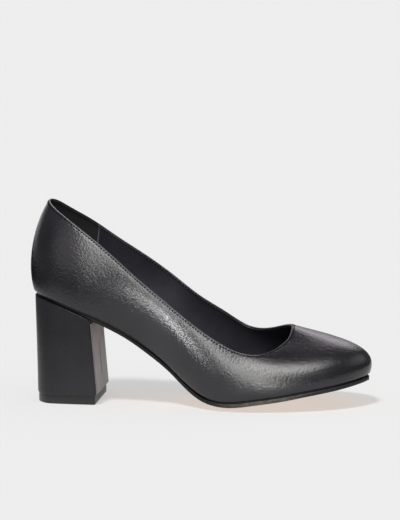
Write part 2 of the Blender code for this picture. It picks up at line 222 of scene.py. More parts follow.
def spline_slopes(knots, values):
    """Slopes at the knots of the smooth cubic curve through the values, closed if the ends agree."""
    gaps = np.diff(knots)
    rises = np.diff(values, axis=0) / gaps[:, None]
    count = len(knots)
    system = np.zeros((count, count))
    right = np.zeros(values.shape)
    for k in range(1, count - 1):
        system[k, k - 1 : k + 2] = 1 / gaps[k - 1], 2 / gaps[k - 1] + 2 / gaps[k], 1 / gaps[k]
        right[k] = 3 * (rises[k - 1] / gaps[k - 1] + rises[k] / gaps[k])
    if np.allclose(values[0], values[-1]):
        system[0, 0], system[0, -1] = 1, -1
        system[-1, :2] = 2 / gaps[0], 1 / gaps[0]
        system[-1, -2:] += 1 / gaps[-1], 2 / gaps[-1]
        right[-1] = 3 * (rises[0] / gaps[0] + rises[-1] / gaps[-1])
    else:
        system[0, :2] = 2, 1
        right[0] = 3 * rises[0]
        system[-1, -2:] = 1, 2
        right[-1] = 3 * rises[-1]
    return np.linalg.solve(system, right)


def spline_at(knots, values, places):
    """Points at the places on the smooth cubic curve through the values."""
    slopes = spline_slopes(knots, values)
    spans = np.clip(np.searchsorted(knots, places, "right") - 1, 0, len(knots) - 2)
    gaps = (knots[spans + 1] - knots[spans])[:, None]
    t = (places - knots[spans])[:, None] / gaps
    start = (1 + 2 * t) * (1 - t) ** 2 * values[spans] + t * (1 - t) ** 2 * gaps * slopes[spans]
    end = t**2 * (3 - 2 * t) * values[spans + 1] - t**2 * (1 - t) * gaps * slopes[spans + 1]
    return start + end


def column(rows, name):
    return np.array([getattr(row, name) for row in rows])


def feather_height(x):
    places = np.clip((np.ravel(x) - X_BACK) / LAST_LENGTH, 0, 1)
    shares = spline_at(column(BOTTOM, "at"), column(BOTTOM, "up")[:, None], places)
    return (HEEL_HEIGHT * shares[:, 0]).reshape(np.shape(x))


def crown_depth(x):
    places = np.clip((x - X_BACK) / LAST_LENGTH, 0, 1)
    return SOLE_CROWN * np.interp(places, column(BOTTOM, "at"), column(BOTTOM, "crown"))


# Where the seat ends, the waist starts and ends, and the forefoot starts, of LAST_LENGTH
PARTS_AT = [0.14, 0.20, 0.42, 0.56]


def along_parts(x, seat, waist, forefoot):
    """A value along the last that has one size under the heel, one in the waist and one in the forefoot."""
    places = (x - X_BACK) / LAST_LENGTH
    return np.interp(places, PARTS_AT, [seat, waist, waist, forefoot])


def unit(vectors):
    return vectors / np.linalg.norm(vectors, axis=-1, keepdims=True)


def outward(curve_slopes):
    """Level unit vectors that point out of a ring which runs anticlockwise."""
    return unit(np.stack([curve_slopes[:, 1], -curve_slopes[:, 0], np.zeros(len(curve_slopes))], axis=1))


def smooth(share):
    share = np.clip(share, 0, 1)
    return share * share * (3 - 2 * share)


def bump_at(distance, width):
    """A round bump of height 1 at distance 0."""
    return np.exp(-((distance / width) ** 2))


def near(distance, reach):
    """A rounding that is 1 at distance 0 and 0 from the reach on."""
    return np.clip(1 - distance / reach, 0, 1) ** 2


# The upper's ribs


def ring_controls():
    """Knots round the shoe and, at each, the four control points of its rib. The last repeats the first."""
    rows = [(rib, -1, rib.foot_out, rib.rim_out, rib.rim_up_out) for rib in RIBS + [TOE_RIB]]
    rows += [(rib, 1, rib.foot_in, rib.rim_in, rib.rim_up_in) for rib in RIBS[::-1]]
    ribs = [row[0] for row in rows]
    side = np.array([row[1] for row in rows])
    foot_x = X_BACK + LAST_LENGTH * column(ribs, "foot_at")
    rim_x = X_BACK + LAST_LENGTH * column(ribs, "rim_at")
    foot_y = side * BALL_WIDTH * np.array([row[2] for row in rows])
    rim_y = side * BALL_WIDTH * np.array([row[3] for row in rows])
    feet = np.column_stack([foot_x, foot_y, feather_height(foot_x)])
    rims = np.column_stack([rim_x, rim_y, BACK_TOP * np.array([row[4] for row in rows])])
    steps = np.linalg.norm(np.diff(feet, axis=0), axis=1) + np.linalg.norm(np.diff(rims, axis=0), axis=1)
    knots = np.concatenate([[0], np.cumsum(steps) / np.sum(steps)])
    foot_out = outward(spline_slopes(knots, feet))
    rim_out = outward(spline_slopes(knots, rims))
    reach = np.linalg.norm(rims - feet, axis=1)[:, None]
    up = np.array([0, 0, 1])
    low_out, low_up = column(ribs, "low_out")[:, None], column(ribs, "low_up")[:, None]
    top_out, top_down = column(ribs, "top_out")[:, None], column(ribs, "top_down")[:, None]
    low = feet + reach * (low_out * foot_out + low_up * up)
    top = rims + reach * (top_out * rim_out - top_down * up)
    return knots, np.stack([feet, low, top, rims], axis=1)


KNOTS, CONTROLS = ring_controls()


def ribs_at(places):
    flat = spline_at(KNOTS, CONTROLS.reshape(len(KNOTS), -1), np.mod(places, 1))
    return flat.reshape(len(places), 4, 3)


def rib_points(controls, shares):
    """Points of each rib at its shares, given as [rib, share], of its way from foot to top."""
    t = shares[:, :, None]
    foot, low, top, rim = (controls[:, None, k] for k in range(4))
    return (1 - t) ** 3 * foot + 3 * t * (1 - t) ** 2 * low + 3 * t**2 * (1 - t) * top + t**3 * rim


RIB_TABLE_STEPS = 160


def rib_lengths(places):
    """Length along each rib from its foot, at even shares of its curve."""
    shares = np.tile(np.linspace(0, 1, RIB_TABLE_STEPS + 1), (len(places), 1))
    points = rib_points(ribs_at(places), shares)
    steps = np.linalg.norm(np.diff(points, axis=1), axis=2)
    return shares[0], np.concatenate([np.zeros((len(places), 1)), np.cumsum(steps, axis=1)], axis=1)


def skin(places, from_foot, middle_rows, from_rim):
    """Points and normals of the outer skin, in rows at set distances from foot and rim, and the distances."""
    shares, lengths = rib_lengths(places)
    from_foot, from_rim = np.array(from_foot), np.array(from_rim)
    whole = lengths[:, -1:]
    low = np.tile(from_foot, (len(places), 1))
    high = whole - from_rim
    mids = np.linspace(0, 1, middle_rows + 2)[1:-1]
    middle = low[:, -1:] + (high[:, :1] - low[:, -1:]) * mids
    wanted = np.concatenate([low, middle, high], axis=1)
    rows = np.stack([np.interp(want, length, shares) for want, length in zip(wanted, lengths)])
    controls = ribs_at(places)
    step = 1e-4
    around = rib_points(ribs_at(places + step), rows) - rib_points(ribs_at(places - step), rows)
    up_rows, down_rows = np.clip(rows + step, 0, 1), np.clip(rows - step, 0, 1)
    along = rib_points(controls, up_rows) - rib_points(controls, down_rows)
    normals = unit(np.cross(around, along))
    return rib_points(controls, rows), normals, wanted, whole - wanted


# Making pieces


def make_mesh(name, points, faces, materials, face_materials=None, sharp=SHARP_EDGE, merge=False):
    mesh = bpy.data.meshes.new(name)
    mesh.from_pydata((np.asarray(points) * MM).tolist(), [], faces)
    for material in materials:
        mesh.materials.append(material)
    if face_materials is not None:
        mesh.polygons.foreach_set("material_index", face_materials)
    mesh.polygons.foreach_set("use_smooth", [True] * len(mesh.polygons))
    mesh.update()
    if merge:
        weld(mesh)
    mesh.set_sharp_from_angle(angle=sharp)
    obj = bpy.data.objects.new(name, mesh)
    bpy.context.scene.collection.objects.link(obj)
    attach(obj, "root")
    return obj


def weld(mesh):
    """Joins points that coincide and drops the faces that this closes up."""
    shape = bmesh.new()
    shape.from_mesh(mesh)
    bmesh.ops.remove_doubles(shape, verts=shape.verts, dist=WELD_REACH)
    bmesh.ops.recalc_face_normals(shape, faces=shape.faces)
    shape.to_mesh(mesh)
    shape.free()


def share_attribute(obj, name, values):
    attribute = obj.data.attributes.new(name, "FLOAT", "POINT")
    attribute.data.foreach_set("value", np.asarray(values, np.float32).ravel())


def loft_faces(sections, columns, closed):
    """Faces between closed loops of points, one loop for each section."""
    here = np.arange(sections if closed else sections - 1)
    after = (here + 1) % sections
    k = np.arange(columns)
    beside = (k + 1) % columns
    quads = np.stack(
        [
            here[:, None] * columns + k,
            after[:, None] * columns + k,
            after[:, None] * columns + beside,
            here[:, None] * columns + beside,
        ],
        axis=2,
    )
    return quads.reshape(-1, 4).tolist()


# Materials


class Nodes:
    """A short way to write a material's nodes."""

    def __init__(self, name):
        self.material = bpy.data.materials.new(name)
        self.material.use_nodes = True
        self.tree = self.material.node_tree
        self.shader = self.tree.nodes["Principled BSDF"]
        self.place = self.add("ShaderNodeTexCoord").outputs["Object"]

    def add(self, kind, settings=None, inputs=None):
        node = self.tree.nodes.new(kind)
        for key, value in (settings or {}).items():
            setattr(node, key, value)
        for key, value in (inputs or {}).items():
            self.put(node.inputs[key], value)
        return node

    def put(self, socket, value):
        if isinstance(value, bpy.types.NodeSocket):
            self.tree.links.new(value, socket)
        else:
            socket.default_value = value

    def set(self, **values):
        for key, value in values.items():
            self.put(self.shader.inputs[key.replace("_", " ")], value)

    def noise(self, scale, detail=2.0, rough=0.5):
        node = self.add(
            "ShaderNodeTexNoise",
            inputs={"Vector": self.place, "Scale": scale, "Detail": detail, "Roughness": rough},
        )
        return node.outputs["Fac"]

    def cells(self, scale, smoothness=0.6):
        node = self.add(
            "ShaderNodeTexVoronoi",
            {"feature": "SMOOTH_F1"},
            {"Vector": self.place, "Scale": scale, "Smoothness": smoothness},
        )
        return node.outputs["Distance"]

    def math(self, operation, a, b=0.0, c=0.0):
        node = self.add("ShaderNodeMath", {"operation": operation})
        for socket, value in zip(node.inputs, (a, b, c)):
            self.put(socket, value)
        return node.outputs[0]

    def total(self, *layers):
        """The sum of layers, each given with its weight."""
        height = 0.0
        for value, weight in layers:
            height = self.math("ADD", height, self.math("MULTIPLY", value, weight))
        return height

    def range(self, value, low, high, to_low, to_high):
        node = self.add(
            "ShaderNodeMapRange",
            inputs={"Value": value, "From Min": low, "From Max": high, "To Min": to_low, "To Max": to_high},
        )
        return node.outputs["Result"]

    def mix(self, share, a, b):
        node = self.add("ShaderNodeMix", {"data_type": "RGBA"})
        self.put(node.inputs["Factor"], share)
        self.put(node.inputs[6], a)
        self.put(node.inputs[7], b)
        return node.outputs[2]

    def along(self):
        """The place from heel to toe."""
        return self.add("ShaderNodeSeparateXYZ", inputs={"Vector": self.place}).outputs["X"]

    def attribute(self, name):
        return self.add("ShaderNodeAttribute", {"attribute_name": name}).outputs["Fac"]

    def bump(self, height, distance):
        node = self.add("ShaderNodeBump", inputs={"Height": height, "Distance": distance, "Strength": 1.0})
        return node.outputs["Normal"]


def grey(level, tint=(1.0, 1.0, 1.0)):
    return (level * tint[0], level * tint[1], level * tint[2], 1.0)


LEATHER_TINT = (1.0, 0.96, 1.18)
LINING_TINT = (0.95, 0.95, 1.2)
BREAST_TINT = (1.0, 0.9, 0.97)
SUEDE_TINT = (1.04, 1.0, 1.0)
EDGE_TINT = (1.1, 0.95, 0.85)
TAN_LOW, TAN_HIGH, TAN_FIBRE = (0.42, 0.24, 0.12, 1), (0.56, 0.34, 0.18, 1), (0.3, 0.16, 0.08, 1)
GRAIN_DEPTH = 0.00002  # in metres, like the other bumps
CUT_EDGE_AND_HIGHLIGHT_LEVEL = 0.17  # colour of cut edges, and on the upper's folded edge a painted highlight


def leather(name, level, rough, grain=1.0, tint=LEATHER_TINT, edge=None):
    """Finished calf leather: pebbled grain in three sizes, slow waves, and changes in colour and gloss."""
    nodes = Nodes(name)
    patch = nodes.noise(28, 3, 0.55)
    low, high = grey(level * 0.8, tint), grey(level * 1.25, tint)
    color = nodes.mix(nodes.range(patch, 0.35, 0.65, 0, 1), low, high)
    # An edge attribute moves the colour towards the edge colour: a painted highlight along the upper's folded
    # edge, the cut edge's own colour on lining and breast
    if edge:
        color = nodes.mix(nodes.attribute(edge), color, grey(CUT_EDGE_AND_HIGHLIGHT_LEVEL, tint))
    height = nodes.total(
        (nodes.noise(3600, 2, 0.6), 0.3),
        (nodes.cells(1500), 1.5),
        (nodes.noise(680, 2, 0.6), 11.0),
        (nodes.noise(150, 2), 2.0),
    )
    nodes.set(
        Base_Color=color,
        Roughness=nodes.range(patch, 0.3, 0.7, rough - 0.03, rough + 0.03),
        Normal=nodes.bump(height, GRAIN_DEPTH * grain),
    )
    return nodes.material


def make_materials():
    mats = {}
    mats["skin"] = leather("calf_leather", 0.009, 0.23, edge="edge")
    mats["cover"] = leather("heel_cover_leather", 0.014, 0.42, grain=0.7)
    # The breast cover's black leather is painted far paler than the heel cover's: painted light on the face
    # that looks towards the toe
    mats["breast"] = leather("breast_leather_painted_light", 0.22, 0.42, grain=1.5, tint=BREAST_TINT, edge="edge")
    # The lining's own near-black colour is painted paler here: partly a painted sheen
    mats["lining"] = leather("lining_leather", 0.036, 0.36, grain=0.6, tint=LINING_TINT, edge="edge")
    mats["sock"] = leather("sock_leather_finish", 0.012, 0.5, grain=0.6, tint=LINING_TINT)

    nodes = Nodes("heel_grip_suede")
    nap = nodes.noise(1900, 4, 0.7)
    suede = nodes.mix(nodes.range(nap, 0.3, 0.7, 0, 1), grey(0.014, SUEDE_TINT), grey(0.034, SUEDE_TINT))
    nodes.set(Base_Color=suede, Roughness=0.95, Normal=nodes.bump(nap, 0.0003))
    mats["grip"] = nodes.material

    nodes = Nodes("waxed_thread")
    nodes.set(
        Base_Color=nodes.mix(nodes.noise(900, 2), grey(0.001), grey(0.004)),
        Roughness=0.6,
        Specular_IOR_Level=0.06,
        Normal=nodes.bump(nodes.noise(4000, 2), 0.00008),
    )
    mats["thread"] = nodes.material

    nodes = Nodes("sole_edge_finish")
    streak = nodes.noise(420, 3, 0.6)
    along = nodes.along()
    # The edge turns paler and brown between 95 and 165 mm along, under the ball, and stays dark elsewhere
    brown_from, brown_to = nodes.range(along, 0.095, 0.12, 0, 1), nodes.range(along, 0.14, 0.165, 1, 0.08)
    share = nodes.range(streak, 0.35, 0.65, 0, 1)
    dark = nodes.mix(share, grey(0.007), grey(0.013))
    brown = nodes.mix(share, grey(0.05, EDGE_TINT), grey(0.12, EDGE_TINT))
    nodes.set(
        Base_Color=nodes.mix(nodes.math("MULTIPLY", brown_from, brown_to), dark, brown),
        Roughness=nodes.range(streak, 0.3, 0.7, 0.5, 0.65),
        Specular_IOR_Level=0.3,
        Normal=nodes.bump(streak, 0.00012),
    )
    mats["edge"] = nodes.material

    nodes = Nodes("sole_underside")
    fibre = nodes.noise(1200, 4, 0.65)
    patch = nodes.noise(26, 4, 0.6)
    tone = nodes.mix(nodes.range(patch, 0.3, 0.7, 0, 1), TAN_LOW, TAN_HIGH)
    tone = nodes.mix(nodes.range(fibre, 0.3, 0.75, 0, 0.35), tone, TAN_FIBRE)
    nodes.set(Base_Color=tone, Roughness=0.55, Normal=nodes.bump(fibre, 0.00015))
    mats["underside"] = nodes.material

    nodes = Nodes("top_piece_finish")
    speck = nodes.noise(2200, 3, 0.6)
    rubber = nodes.mix(nodes.range(speck, 0.3, 0.7, 0, 1), grey(0.013), grey(0.024))
    nodes.set(
        # Painted highlight: where the edge attribute is set, the top piece's upper edge is painted paler
        Base_Color=nodes.mix(nodes.attribute("edge"), rubber, grey(0.16)),
        Roughness=nodes.range(nodes.noise(60, 3), 0.3, 0.7, 0.34, 0.46),
        Normal=nodes.bump(speck, 0.0001),
    )
    mats["rubber"] = nodes.material
    return mats


MATS = make_materials()


# The upper


def skin_places():
    """Places round the shoe, closer together at the seam."""
    even = np.arange(SKIN_RING) / SKIN_RING
    beside = np.array(SEAM_STEPS) / RING_LENGTH
    far = even[np.abs(even - SEAM_PLACE) > SEAM_REACH / RING_LENGTH]
    return np.sort(np.concatenate([far, SEAM_PLACE - beside, SEAM_PLACE + beside]))


# The folded edge, inwards over the top: how far each row stands above the edge and behind the outside
Fold = namedtuple("Fold", "rise depth")
FOLD = [Fold(0.12, 0.52), Fold(0.22, 0.72), Fold(0.2, 0.95), Fold(0.0, 1.15)]
FOLD_HIGHLIGHT_ROWS = 2  # rows of the fold that get the painted highlight
EDGE_HIGHLIGHT_SHARE = 0.7
EDGE_HIGHLIGHT_REACH = 0.3


def build_skin():
    """The leather: outside, folded edge, and the hidden back of the leather."""
    places = skin_places()
    points, normals, from_foot, from_rim = skin(places, SKIN_FOOT_ROWS, SKIN_MIDDLE_ROWS, SKIN_RIM_ROWS)
    from_seam = (places - SEAM_PLACE)[:, None] * RING_LENGTH
    relief = -FEATHER_TUCK * near(from_foot, FEATHER_TUCK_HEIGHT)
    relief = relief - STITCH_VALLEY * bump_at(from_rim - STITCH_LINE, STITCH_VALLEY_WIDTH)
    relief = relief - EDGE_ROUND * near(from_rim, EDGE_ROUND_REACH)
    relief = relief - SEAM_DEPTH * bump_at(from_seam, SEAM_WIDTH) * smooth(from_foot / SEAM_FADE)
    outer = points + relief[:, :, None] * normals
    climb = unit(points[:, -1] - points[:, -3])
    fold = [points[:, -1] + row.rise * climb - row.depth * normals[:, -1] for row in FOLD]
    last = outer.shape[1] - 1
    shares = np.linspace(1, 0, SKIN_BACK_ROWS)[1:]
    picks = [last - 3, last - 7] + [int(round(share * (last - len(SKIN_RIM_ROWS)))) for share in shares]
    back = points - LEATHER_DEPTH * normals
    back[:, 0] = points[:, 0] - LEATHER_DEPTH * unit(normals[:, 0] * (1, 1, 0))
    sections = np.concatenate([outer, np.stack(fold, axis=1), back[:, picks]], axis=1)
    faces = loft_faces(len(places), sections.shape[1], True)
    obj = make_mesh("upper_leather", sections.reshape(-1, 3), faces, [MATS["skin"]], sharp=SKIN_SHARP_EDGE)
    # Painted highlight: the outside just below the edge and the top of the fold are painted paler, for light
    # caught by the folded edge
    edge = np.zeros(sections.shape[:2])
    edge[:, : last + 1] = EDGE_HIGHLIGHT_SHARE * np.clip(1 - from_rim / EDGE_HIGHLIGHT_REACH, 0, 1)
    edge[:, last + 1 : last + 1 + FOLD_HIGHLIGHT_ROWS] = 1.0
    share_attribute(obj, "edge", edge)
    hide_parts("upper")


def strip_solid(name, places, back_depth, material):
    """A lining piece: a strip of the inside between two places, from below the edge down to the foot."""
    rim_rows = LINING_START + np.array(LINING_RIM_ROWS)
    points, normals, _, from_rim = skin(places, [0.0, 1.0], LINING_MIDDLE_ROWS, rim_rows)
    normals[:, 0] = unit(normals[:, 0] * (1, 1, 0))
    thin = LINING_EDGE_THIN * near(from_rim - LINING_START, LINING_EDGE_REACH)
    depth = back_depth - (back_depth - LINING_FRONT) * thin
    inside = points - depth[:, :, None] * normals
    reach = points.shape[1] - len(LINING_RIM_ROWS) + 1
    picks = [-1, -5] + [int(round(share * reach)) for share in np.linspace(1, 0, LINING_BACK_ROWS)]
    hidden = (points - LINING_FRONT * normals)[:, picks]
    sections = np.concatenate([inside, hidden], axis=1)[:, ::-1]
    rows = sections.shape[1]
    faces = loft_faces(len(places), rows, False)
    faces.append(tuple(range(rows)))
    faces.append(tuple(range(len(places) * rows - 1, (len(places) - 1) * rows - 1, -1)))
    obj = make_mesh(name, sections.reshape(-1, 3), faces, [material])
    return obj


def build_lining():
    places = np.linspace(GRIP_END, 1 - GRIP_END, LINING_RING)
    line = np.array(SEAM_LINE) / RING_LENGTH
    places = np.concatenate([places[0] + line, places[1:-1], places[-1] - line[::-1]])
    lining = strip_solid("lining", places, LINING_BACK, MATS["lining"])
    edge = np.zeros(len(places))
    edge[: len(line)] = edge[-len(line) :] = 1.0
    share_attribute(lining, "edge", np.repeat(edge, len(lining.data.vertices) // len(edge)))
    end = GRIP_END + GRIP_OVERLAP
    strip_solid("heel_grip", np.linspace(-end, end, GRIP_RING), GRIP_BACK, MATS["grip"])


def stitches(name, centres, tangents, normals):
    """One small rounded stitch at each centre."""
    turns = np.linspace(0, 2 * math.pi, THREAD_SIDES + 1)[:-1]
    sides = unit(np.cross(normals, tangents))
    points, faces = [], []
    for centre, tangent, normal, side in zip(centres, tangents, normals, sides):
        base = len(points)
        for ring in STITCH_RINGS:
            sink = -THREAD_DIP * THREAD_RADIUS * (2 * abs(ring.at)) ** 3
            middle = centre + ring.at * STITCH_LENGTH * tangent + sink * normal
            for turn in turns:
                out = math.cos(turn) * side + THREAD_FLATNESS * math.sin(turn) * normal
                points.append(middle + ring.wide * THREAD_RADIUS * out)
        for row in range(len(STITCH_RINGS) - 1):
            for k in range(THREAD_SIDES):
                a = base + row * THREAD_SIDES + k
                b = base + row * THREAD_SIDES + (k + 1) % THREAD_SIDES
                faces.append((a, b, b + THREAD_SIDES, a + THREAD_SIDES))
        faces.append(tuple(range(base, base + THREAD_SIDES))[::-1])
        faces.append(tuple(range(len(points) - THREAD_SIDES, len(points))))
    return make_mesh(name, np.array(points), faces, [MATS["thread"]], sharp=THREAD_SHARP_EDGE)


def stitch_row(name, depth, below, facing):
    """Stitches round the whole edge, at a depth inside the outer skin, that face outwards or inwards."""
    places = np.arange(PATH_STEPS) / PATH_STEPS
    points, normals, _, _ = skin(places, [0, 1], 1, [below + 0.1, below])
    path = points[:, -1] - depth * normals[:, -1]
    steps = np.linalg.norm(np.roll(path, -1, axis=0) - path, axis=1)
    lengths = np.concatenate([[0], np.cumsum(steps)])
    count = int(round(lengths[-1] / STITCH_PITCH))
    wanted = (np.arange(count) + 0.5) * lengths[-1] / count
    picks = np.searchsorted(lengths, wanted) % len(path)
    tangents = unit(np.roll(path, -4, axis=0) - np.roll(path, 4, axis=0))[picks]
    obj = stitches(name, path[picks], tangents, facing * normals[picks, -1])


def build_stitches():
    stitch_row("edge_stitches", STITCH_VALLEY * STITCH_SEAT, STITCH_LINE, 1)
    stitch_row("edge_stitches_inside", LINING_BACK - THREAD_RISE, STITCH_LINE_INSIDE, -1)


# Sheets under the foot


def inset_outline(inset_at):
    """The feather line seen from above, moved inwards by inset_at(x)."""
    feet = ribs_at(np.arange(OUTLINE_STEPS) / OUTLINE_STEPS)[:, 0]
    slopes = np.roll(feet, -1, axis=0) - np.roll(feet, 1, axis=0)
    out = outward(slopes)
    return (feet - inset_at(feet[:, 0])[:, None] * out)[:, :2], out[:, :2]


CROWDING = 0.3  # how much closer together the cross rows lie at both ends


def halves(inset_at):
    """The outline's outer and inner half from back to front, with their outward vectors, in even steps."""
    outline, out = inset_outline(inset_at)
    front, back = np.argmax(outline[:, 0]), np.argmin(outline[:, 0])
    outer = np.arange(back, front + 1)
    inner = np.concatenate([np.arange(front, len(outline)), np.arange(0, back + 1)])[::-1]
    even = np.linspace(0, 1, SHEET_SECTIONS + 1)
    shares = (1 - CROWDING) * even + CROWDING * (1 - np.cos(math.pi * even)) / 2
    sides = []
    for order in (outer, inner):
        places = np.concatenate([[0], np.cumsum(np.linalg.norm(np.diff(outline[order], axis=0), axis=1))])
        wanted = shares * places[-1]
        for values in (outline[order], out[order]):
            sides.append(np.stack([np.interp(wanted, places, values[:, k]) for k in range(2)], axis=1))
    return sides


def bowed(x, share):
    """Height of the last's bottom, which hangs below the feather line in the middle."""
    return feather_height(x) - crown_depth(x) * (1 - share**2)


def sole_bottom(x, share):
    slope = feather_height(x + 0.5) - feather_height(x - 0.5)
    thickness = along_parts(x, SEAT_THICKNESS, SHANK_THICKNESS, SOLE_THICKNESS)
    return np.maximum(bowed(x, share) - GAP - thickness * np.hypot(1, slope), 0)


ROW_BEND = 6.0  # how far cross rows near the tips bend away from them, so that they don't crowd there
BEND_START, BEND_END = 3.0, 14.0
NARROW = 3.0  # edges are drawn sharper where half the sheet is narrower than this

EdgeRow = namedtuple("EdgeRow", "inset down")
SOLE_EDGE = [
    EdgeRow(1.2, 0.0),
    EdgeRow(0.55, 0.08),
    EdgeRow(0.15, 0.24),
    EdgeRow(0.0, 0.45),
    EdgeRow(0.0, 0.62),
    EdgeRow(0.12, 0.82),
    EdgeRow(0.35, 0.94),
    EdgeRow(0.9, 1.0),
]
SOCK_EDGE = [
    EdgeRow(0.9, 0.0),
    EdgeRow(0.3, 0.1),
    EdgeRow(0.05, 0.3),
    EdgeRow(0.0, 0.6),
    EdgeRow(0.0, 0.9),
    EdgeRow(0.1, 1.0),
]


def row_middles(outer, inner):
    """The middle of each cross row, bent inwards near both tips."""
    even = (outer[:, 0] + inner[:, 0]) / 2
    tip = np.maximum(np.minimum(even - outer[0, 0], outer[-1, 0] - even), 0)
    inwards = np.where(np.arange(len(even)) < SHEET_SECTIONS / 2, 1, -1)
    bend = ROW_BEND * (1 - np.exp(-tip / BEND_START)) * np.exp(-tip / BEND_END)
    return np.column_stack([even + inwards * bend, (outer[:, 1] + inner[:, 1]) / 2])


def sheet(name, inset_at, top_at, bottom_at, edge_rows, materials, under_material):
    """A thick sheet inside an outline. Its edge's rows give inset and share of the way down."""
    outer, outer_out, inner, inner_out = halves(inset_at)
    middle = row_middles(outer, inner)
    across = np.linspace(-1, 1, SHEET_COLUMNS + 1)
    limit = np.minimum(1, np.linalg.norm(outer - inner, axis=1) / 2 / NARROW)[:, None]

    def edges(inset):
        return outer - inset * limit * outer_out, inner - inset * limit * inner_out

    def face(inset, height_at):
        outer_edge, inner_edge = edges(inset)
        ends = [outer_edge if a < 0 else inner_edge for a in across]
        plan = [middle + (end - middle) * abs(a) for end, a in zip(ends, across)]
        return [np.column_stack([row, height_at(row[:, 0], abs(a))]) for row, a in zip(plan, across)]

    def side(row, pick):
        plan = edges(row.inset)[pick]
        high, low = top_at(plan[:, 0], 1.0), bottom_at(plan[:, 0], 1.0)
        return np.column_stack([plan, high + (low - high) * row.down])

    # Round each section: over the top, down the inner edge, back underneath, up the outer edge
    loop = face(edge_rows[0].inset, top_at)
    loop += [side(row, 1) for row in edge_rows[1:-1]]
    under = range(len(loop), len(loop) + SHEET_COLUMNS)
    loop += face(edge_rows[-1].inset, bottom_at)[::-1]
    loop += [side(row, 0) for row in edge_rows[-2:0:-1]]
    faces = [corners[::-1] for corners in loft_faces(SHEET_SECTIONS + 1, len(loop), False)]
    strips = [under_material if k in under else 0 for k in range(len(loop))] * SHEET_SECTIONS
    points = np.stack(loop, axis=1).reshape(-1, 3)
    return make_mesh(name, points, faces, materials, strips, sharp=SHEET_SHARP_EDGE, merge=True)


def sole_inset(x):
    return along_parts(x, SEAT_INSET, WAIST_INSET, FOREFOOT_INSET)


SOCK_LIFT = 0.02


def build_sheets():
    sole = sheet(
        "outsole_finish",
        sole_inset,
        lambda x, share: bowed(x, share) - GAP,
        sole_bottom,
        SOLE_EDGE,
        [MATS["edge"], MATS["underside"]],
        1,
    )
    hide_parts("outsole")
    sock = sheet(
        "sock",
        lambda x: np.full(len(x), UPPER_WALL + GAP),
        lambda x, share: bowed(x, share) + INSOLE_THICKNESS,
        lambda x, share: bowed(x, share) + SOCK_LIFT,
        SOCK_EDGE,
        [MATS["sock"]],
        0,
    )
    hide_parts("insole")


# The heel


def heel_foot_side():
    """The heel's foot from the inner end of the breast round the back to the outer end."""
    half = [((row.at - 0.5) * HEEL_BASE_LENGTH, row.out * HEEL_BASE_WIDTH) for row in HEEL_FOOT]
    points = np.array(half[::-1] + [(x, -y) for x, y in half[1:]])
    knots = np.concatenate([[0], np.cumsum(np.linalg.norm(np.diff(points, axis=0), axis=1))])
    return spline_at(knots, points, np.linspace(0, knots[-1], HEEL_STEPS + 1))


def heel_top_side(corner_x):
    """The heel's top, which follows the feather line, between the same ends."""
    outline, _ = inset_outline(lambda x: np.full(len(x), HEEL_TOP_INSET))
    inner_start = len(outline) // 2 + np.argmax(outline[len(outline) // 2 :, 0] < corner_x)
    outer_end = np.argmax(outline[:, 0] > corner_x)
    points = np.concatenate([outline[inner_start:], outline[:outer_end]])
    places = np.concatenate([[0], np.cumsum(np.linalg.norm(np.diff(points, axis=0), axis=1))])
    even = np.linspace(0, places[-1], HEEL_STEPS + 1)
    return np.stack([np.interp(even, places, points[:, k]) for k in range(2)], axis=1)


COVER_LAP = 0.25  # the cover reaches down over most of the gap above the top piece
COVER_LAP_SHARE = 0.01

Level = namedtuple("Level", "at inset")
COVER_LEVELS = [Level(0.0, 0.25), Level(0.004, 0.08), Level(0.009, 0.02), Level(0.014, 0.0)]
COVER_LEVELS += [Level(share, 0.0) for share in np.linspace(0.03, 0.97, 26)]
COVER_LEVELS += [Level(0.99, 0.0), Level(0.997, 0.05), Level(1.0, 0.15)]
TOP_PIECE_LEVELS = [
    Level(0.0, 0.35),
    Level(0.12, 0.1),
    Level(0.35, 0.0),
    Level(TOP_PIECE_HEIGHT / 2, 0.0),
    Level(TOP_PIECE_HEIGHT - 0.4, 0.0),
    Level(TOP_PIECE_HEIGHT - 0.15, 0.08),
    Level(TOP_PIECE_HEIGHT, 0.35),
]


def heel_outline(side, front_x):
    """A closed outline: the side points, then the breast with a small round at each end."""
    turns = np.linspace(-math.pi / 2, 0, CORNER_STEPS + 1)
    arc = BREAST_RADIUS * np.stack([np.cos(turns), np.sin(turns)], axis=1)
    outer_centre = np.array([front_x - BREAST_RADIUS, side[-1, 1] + BREAST_RADIUS])
    inner_centre = np.array([front_x - BREAST_RADIUS, side[0, 1] - BREAST_RADIUS])
    outer_arc = outer_centre + arc
    inner_arc = inner_centre + arc[::-1] * (1, -1)
    shares = np.linspace(0, 1, BREAST_STEPS + 1)[1:-1, None]
    breast = outer_arc[-1] + shares * (inner_arc[0] - outer_arc[-1])
    return np.concatenate([side[1:-1], outer_arc, breast, inner_arc])


def stack_rings(name, rings, material):
    """A solid from closed rings, lowest first, each a list of points that runs anticlockwise."""
    count, rows = len(rings[0]), len(rings)
    here = np.arange(count)
    after = (here + 1) % count
    faces = []
    for row in range(rows - 1):
        faces += np.stack(
            [here * rows + row, after * rows + row, after * rows + row + 1, here * rows + row + 1], axis=1
        ).tolist()
    faces.append((here[::-1] * rows).tolist())
    faces.append((here * rows + rows - 1).tolist())
    return make_mesh(name, np.stack(rings, axis=1).reshape(-1, 3), faces, [material])


def shrunk(ring, inset):
    """A closed plan outline moved inwards."""
    slopes = np.roll(ring, -1, axis=0) - np.roll(ring, 1, axis=0)
    out = np.column_stack([slopes[:, 1], -slopes[:, 0]])
    return ring - inset * unit(out)


